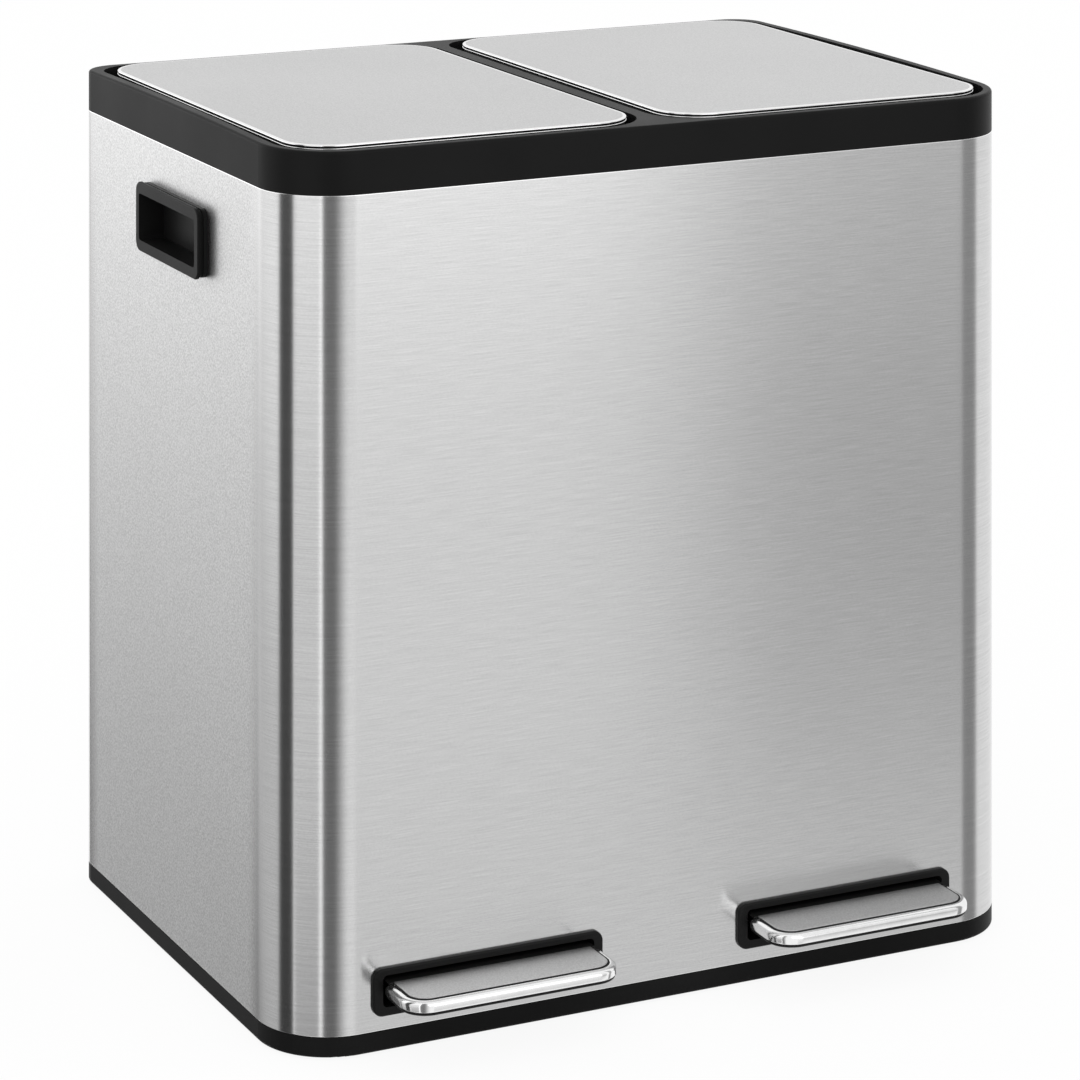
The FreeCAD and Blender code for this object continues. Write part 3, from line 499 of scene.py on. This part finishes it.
# ---------------------------------------------------------------- lids
LID_CORNER_R = 31 * MM
LID_ROLL_R = 0.8 * MM        # rounding of the sheet's edge
LID_EDGE_H = 1.0 * MM        # height of the bright edge above the dark band
LID_EDGE_W = 2.2 * MM        # its width seen from above
LID_T = 0.8 * MM
# Inset and thickness of the black strip under the lid's edge, a painted reflection of the dark rim in the
# flange.
BAND_IN = 0.5 * MM
BAND_T = 0.5 * MM
BEAD_R = 0.5 * MM
BEAD_PROUD = 0.1 * MM


def lid_skins():
    """Satin lid sheets with a polished rolled edge, a dark band under it and a bright bead below. The
    dark band is a painted reflection: a black strip where the steel flange would mirror the dark rim.
    """
    for side in SIDES:
        body, slot, node = "lid_" + side, "lid_steel", "lid_plate_" + side
        low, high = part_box(node)
        ring = ring_maker((low.x, high.x), (low.y, high.y), (LID_CORNER_R,) * 4)
        top = high.z
        under = top - LID_EDGE_H
        outside = [(0, under)] + arc_points((LID_ROLL_R, top - LID_ROLL_R), LID_ROLL_R, 180, 90)
        inside = [(LID_EDGE_W, top), (LID_EDGE_W, top - LID_T), (LID_ROLL_R, under)]
        edge = swept("lid_edge_" + side, ring, outside + inside, "polished_steel")
        place(edge, body, slot, node)
        # Painted reflection: black rim plastic in place of the flange's dark reflection of the rim.
        band_back = BAND_IN + BAND_T
        strip = [(BAND_IN, low.z), (BAND_IN, under), (band_back, under), (band_back, low.z)]
        band = swept("lid_painted_reflection_band_" + side, ring, strip, "black_plastic")
        place(band, body, "black_plastic", node)
        bead = bead_ring("lid_bead_" + side, ring, BEAD_R - BEAD_PROUD, low.z + BEAD_R, BEAD_R)
        place(bead, body, slot, node)
        sheet = [(LID_EDGE_W, top - LID_T), (LID_EDGE_W, top), (LID_EDGE_W + SUPPORT, top)]
        plate = swept("lid_top_" + side, ring, sheet, "lid_steel", closed=False)
        place(plate, body, slot, node)


# ---------------------------------------------------------------- pedals
TREAD_CORNER_R = 17 * MM
TREAD_BACK_R = 0.6 * MM
TREAD_EDGE_R = 3.4 * MM
TREAD_STEPS = 24
TREAD_BEHIND = 4.0 * MM      # gap between the bezel's face and the tread
CAP_T = 1.2 * MM
CAP_HEM_R = 0.5 * MM
CAP_FILL = 2.2 * MM          # slanted stretch in the hollow under the flange
GROOVE_IN = 4.3 * MM
GROOVE_W = 1.2 * MM
PLATE_IN = GROOVE_IN + GROOVE_W
FLANGE_DROP = 0.7 * MM       # the flange's crest lies this far below the plate
GASKET_SUNK = 0.35 * MM
BREAK_R = 0.3 * MM           # rounding of the groove's two upper edges
TONGUE_HALF = 70 * MM
TONGUE_LAP = 1 * MM          # how far the tongue reaches forwards into the tread
TONGUE_CORNER_R = 0.5 * MM
TONGUE_SIDE = 0.4 * MM       # depth at which its sides end and its bevel starts
TONGUE_SUNK = 0.1 * MM
SMALL_STEPS = 4


def tread_outline(low, high, back, inset=0.0):
    """Outline of the tread, moved inwards at its front and sides, with a square back."""
    xs = (low.x + inset, high.x - inset)
    front_r = TREAD_CORNER_R - inset
    radii = (front_r, front_r, TREAD_BACK_R, TREAD_BACK_R)
    return ring_maker(xs, (low.y + inset, back), radii, TREAD_STEPS)


def flange_profile(bottom, top):
    """From the hem over the outside and the crest to the groove, then back down the inside."""
    hem = arc_points((CAP_HEM_R, bottom + CAP_HEM_R), CAP_HEM_R, 270, 180, SMALL_STEPS)
    crest = top - FLANGE_DROP
    edge = arc_points((TREAD_EDGE_R, crest - TREAD_EDGE_R), TREAD_EDGE_R, 180, 90, 12)
    brim = arc_points((GROOVE_IN - BREAK_R, crest - BREAK_R), BREAK_R, 90, 0, SMALL_STEPS)
    under = top - CAP_T
    inside = [(GROOVE_IN, under), (CAP_T + CAP_FILL, under), (CAP_T, under - CAP_FILL),
              (CAP_T, bottom)]
    return hem + edge + brim + inside


def plate_profile(top):
    """Side, bevel and face of the tread plate."""
    bevel = arc_points((BREAK_R, top - BREAK_R), BREAK_R, 180, 90, SMALL_STEPS)
    return [(0, top - CAP_T)] + bevel + [(BREAK_R + SUPPORT, top)]


def gasket_profile(top):
    """The dark filling of the groove, which ends a little below its edges."""
    under = top - CAP_T
    face = top - GASKET_SUNK
    return [(GROOVE_IN, under), (GROOVE_IN, face), (PLATE_IN, face), (PLATE_IN, under)]


def tongue_profile(top):
    """Side, bevel and face of the black tongue behind the tread."""
    face = top - TONGUE_SUNK
    return [(0, top - CAP_T), (0, top - TONGUE_SIDE), (BREAK_R, face), (BREAK_R + SUPPORT, face)]


def pedal_caps():
    """Polished flange round a satin tread plate, a dark groove between them, and a black tongue."""
    for side in SIDES:
        body, node = "pedal_" + side, "pedal_cap_" + side
        low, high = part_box(node)
        bezel_low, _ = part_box("pedal_bezel_" + side)
        back = bezel_low.y - TREAD_BEHIND
        top = high.z
        rim = tread_outline(low, high, back)
        flange = swept("pedal_flange_" + side, rim, flange_profile(low.z, top), "polished_steel")
        place(flange, body, "polished_steel", node)
        plate = tread_outline(low, high, back, PLATE_IN)
        tread = swept("pedal_tread_" + side, plate, plate_profile(top), "lid_steel", closed=False)
        place(tread, body, "polished_steel", node)
        gasket = swept("pedal_gasket_" + side, rim, gasket_profile(top), "rubber")
        place(gasket, body, "rubber", node)
        middle = (low.x + high.x) / 2
        xs = (middle - TONGUE_HALF, middle + TONGUE_HALF)
        lap = ring_maker(xs, (back - TONGUE_LAP, high.y), (TONGUE_CORNER_R,) * 4, SMALL_STEPS)
        tongue = swept("pedal_tongue_" + side, lap, tongue_profile(top), "shoe_plastic", closed=False)
        place(tongue, body, "shoe_plastic", node)


# ---------------------------------------------------------------- studio
def studio_world():
    """Plain white set all round."""
    world = bpy.data.worlds.new("studio")
    world.use_nodes = True
    bpy.context.scene.world = world
    background = world.node_tree.nodes["Background"]
    background.inputs["Color"].default_value = grey(1.0)
    background.inputs["Strength"].default_value = 1.0


class Glow(Graph):
    """A material that mixes a glow with another shader."""

    def __init__(self, name):
        super().__init__(name)
        self.tree.nodes.clear()

    def finish(self, share, other, glow):
        """Shows the glow by a share between 0 and 1, and the other shader for the rest."""
        blend = self.node("ShaderNodeMixShader")
        self.link(share, blend.inputs["Fac"])
        self.link(other.outputs["BSDF"], blend.inputs[1])
        self.link(glow.outputs["Emission"], blend.inputs[2])
        out = self.node("ShaderNodeOutputMaterial")
        self.link(blend.outputs["Shader"], out.inputs["Surface"])
        return self.material


def tone_ramp(g, height, tones):
    """A glow whose tones run from the lower to the upper edge, at even steps."""
    ramp = g.node("ShaderNodeValToRGB")
    ramp.color_ramp.interpolation = "EASE"
    stops = ramp.color_ramp.elements
    peak = max(tones)
    for index, tone in enumerate(tones):
        position = index / (len(tones) - 1)
        stop = stops[index] if index < 2 else stops.new(position)
        stop.position = position
        stop.color = grey(tone / peak)
    g.link(height, ramp.inputs["Fac"])
    glow = g.node("ShaderNodeEmission")
    glow.inputs["Strength"].default_value = peak
    g.link(ramp.outputs["Color"], glow.inputs["Color"])
    return glow


def card_material(name, tones, soft):
    """A glow with tones by height, which fades to clear towards the card's two ends."""
    g = Glow(name)
    where = g.coordinates("Generated")
    glow = tone_ramp(g, where["Z"], tones)
    start = g.spread(where["X"], 0.0, 1.0, near=0.0, far=soft[0], curve="SMOOTHSTEP")
    end = g.spread(where["X"], 0.0, 1.0, near=1.0, far=1 - soft[1], curve="SMOOTHSTEP")
    clear = g.node("ShaderNodeBsdfTransparent")
    return g.finish(g.times(start, end), clear, glow)


def card(name, start, end, heights, tones, soft):
    """An upright studio card between two points in plan, which shows only in reflections.

    Tones run from its lower to its upper edge, and soft is how much of its width each end fades over.
    """
    along = Vector((end[0] - start[0], end[1] - start[1], 0))
    width = along.length
    bottom, top = heights
    corners = [(0, 0, bottom), (width, 0, bottom), (width, 0, top), (0, 0, top)]
    mesh = bpy.data.meshes.new(name)
    mesh.from_pydata(corners, [], [(0, 1, 2, 3)])
    mesh.materials.append(card_material(name, tones, soft))
    made = bpy.data.objects.new(name, mesh)
    bpy.context.scene.collection.objects.link(made)
    made.location = (start[0], start[1], 0)
    made.rotation_euler = (0, 0, math.atan2(along.y, along.x))
    made.visible_camera = False
    made.visible_diffuse = False
    made.visible_shadow = False


# Planes that the cards stand in: close to the bin, and further out.
NEAR_X = -0.56
NEAR_Y = -0.468
FAR_X = -1.06
FAR_Y = -2.17
LAYER = 0.01                 # gap between cards that overlap
CORNER_X = -0.49             # where the cards beside the bin meet the ones before it
NEAR_HEIGHTS = (-1.0, 0.9)
LEFT_HEIGHTS = (-3.0, 1.2)
FRONT_HEIGHTS = (-1.2, 0.8)


def left_cards():
    """The pale side with its darker foot, and the dark line before the front corner."""
    card("left_wash", start=(FAR_X, -0.05), end=(FAR_X, 5.0), heights=LEFT_HEIGHTS,
         tones=(0.5, 0.42, 0.3, 0.24, 0.76, 1.8, 2.1), soft=(0.02, 0.1))
    card("left_edge", start=(FAR_X + LAYER, -0.1), end=(FAR_X + LAYER, 1.5), heights=LEFT_HEIGHTS,
         tones=(0.5, 0.4, 0.22, 0.2, 0.66, 1.25, 1.45), soft=(0.02, 0.4))
    card("left_flag", start=(NEAR_X, -0.213), end=(NEAR_X, -0.04), heights=NEAR_HEIGHTS,
         tones=(0.04, 0.08), soft=(0.1, 0.25))


def corner_cards():
    """The soft light, the bright line and the dark band on the front left corner."""
    card("corner_wash", start=(NEAR_X, -0.22), end=(CORNER_X, NEAR_Y), heights=(-0.3, 0.6),
         tones=(0.36, 0.84, 1.25), soft=(0.05, 0.05))
    card("corner_line", start=(CORNER_X, NEAR_Y), end=(-0.448, NEAR_Y), heights=NEAR_HEIGHTS,
         tones=(1.0, 1.8), soft=(0.3, 0.3))
    card("corner_flag", start=(-0.449, NEAR_Y), end=(-0.185, NEAR_Y), heights=NEAR_HEIGHTS,
         tones=(0.15, 0.22), soft=(0.08, 0.55))


def front_cards():
    """The broad light and shade of the front, the light above it, and its dark right edge."""
    card("front_wash", start=(0.2, FAR_Y), end=(1.6, FAR_Y), heights=FRONT_HEIGHTS,
         tones=(0.72, 0.76, 0.85, 0.95, 0.95, 1.15, 1.5, 1.6, 1.6), soft=(0.15, 0.05))
    card("right_screen", start=(0.955, FAR_Y + LAYER), end=(2.4, FAR_Y + LAYER), heights=FRONT_HEIGHTS,
         tones=(0.95, 0.85, 0.66, 0.51, 0.53, 0.64, 0.74, 0.8, 0.8), soft=(0.18, 0.1))
    card("front_head", start=(-0.8, FAR_Y - LAYER), end=(1.25, FAR_Y - LAYER), heights=(0.55, 2.6),
         tones=(1.4, 1.8, 1.8, 1.5), soft=(0.2, 0.2))
    card("right_head", start=(1.0, FAR_Y + 2 * LAYER), end=(2.4, FAR_Y + 2 * LAYER), heights=(0.7, 2.6),
         tones=(0.8, 0.95, 0.9), soft=(0.2, 0.1))
    card("right_flag", start=(0.45, NEAR_Y), end=(1.4, NEAR_Y), heights=NEAR_HEIGHTS,
         tones=(0.26, 0.38), soft=(0.08, 0.6))


FLOOR_SIZE = 30.0
FLOOR_TONE = 0.95
FLOOR_GLOW = 0.92            # share of plain white; the rest takes light and shadow


def seen_directly(g):
    """1 for the camera, for mirrored and for transmitted rays, and 0 for diffuse light."""
    paths = g.node("ShaderNodeLightPath").outputs
    value = paths["Is Camera Ray"]
    for kind in ("Is Glossy Ray", "Is Transmission Ray"):
        value = g.calculate("MAXIMUM", value, paths[kind])
    return value


def floor():
    """Plain pale floor: white to the camera, with part of the bin's soft shadow kept."""
    bpy.ops.mesh.primitive_plane_add(size=FLOOR_SIZE, location=(0, 0, 0))
    ground = bpy.context.active_object
    ground.name = "floor"
    g = Glow("floor_white")
    diffuse = g.node("ShaderNodeBsdfDiffuse")
    diffuse.inputs["Color"].default_value = grey(FLOOR_TONE)
    share = g.times(seen_directly(g), FLOOR_GLOW)
    ground.data.materials.append(g.finish(share, diffuse, g.node("ShaderNodeEmission")))
    ground.visible_glossy = False


LAMP_AIM = Vector((0, 0, 0.3))
LAMP_SIZE = 2.0


def lamp(name, location, power):
    """A round lamp that shines on the middle of the bin and doesn't show in its metal."""
    data = bpy.data.lights.new(name, "AREA")
    data.shape = "DISK"
    data.size = LAMP_SIZE
    data.energy = power
    made = bpy.data.objects.new(name, data)
    bpy.context.scene.collection.objects.link(made)
    made.location = location
    direction = LAMP_AIM - Vector(location)
    made.rotation_euler = direction.to_track_quat("-Z", "Y").to_euler()
    made.visible_glossy = False


# ---------------------------------------------------------------- camera
# Upright edges are parallel in the photograph, as in a picture from a level camera that is cropped
# far below the horizon. Here the view axis dips while the picture plane stays upright.
CAMERA_AT = (-1.2241, -2.49885, 1.0143)
BEARING = math.radians(25.8935)
DIP = 0.27493                # fall of the view axis per unit of level distance
FOCAL = 3.8667               # level focal length, in widths of the picture
SENSOR = 36.0


def camera():
    """The camera on its stand. The sheared matrix between them holds the picture's right, up and back."""
    stretch = math.sqrt(1 + DIP * DIP)
    data = bpy.data.cameras.new("camera")
    data.sensor_width = SENSOR
    data.lens = FOCAL * stretch * SENSOR
    made = bpy.data.objects.new("camera", data)
    bpy.context.scene.collection.objects.link(made)
    stand = bpy.data.objects.new("camera_stand", None)
    bpy.context.scene.collection.objects.link(stand)
    stand.location = CAMERA_AT
    right = (math.cos(BEARING), -math.sin(BEARING), 0.0)
    up = (0.0, 0.0, 1.0)
    back = (-math.sin(BEARING) / stretch, -math.cos(BEARING) / stretch, DIP / stretch)
    rows = [(right[k], up[k], back[k], 0.0) for k in range(3)]
    made.parent = stand
    made.matrix_parent_inverse = Matrix((*rows, (0.0, 0.0, 0.0, 1.0)))
    bpy.context.scene.camera = made


# ---------------------------------------------------------------- build
dress_cad_nodes()
outer_shell()
back_seam()
lid_skins()
pedal_caps()
studio_world()
left_cards()
corner_cards()
front_cards()
floor()
lamp("key", location=(-2.2, -2.6, 3.2), power=12)
lamp("fill", location=(2.6, -1.6, 2.4), power=5)
camera()
bpy.context.scene.view_settings.view_transform = "Standard"
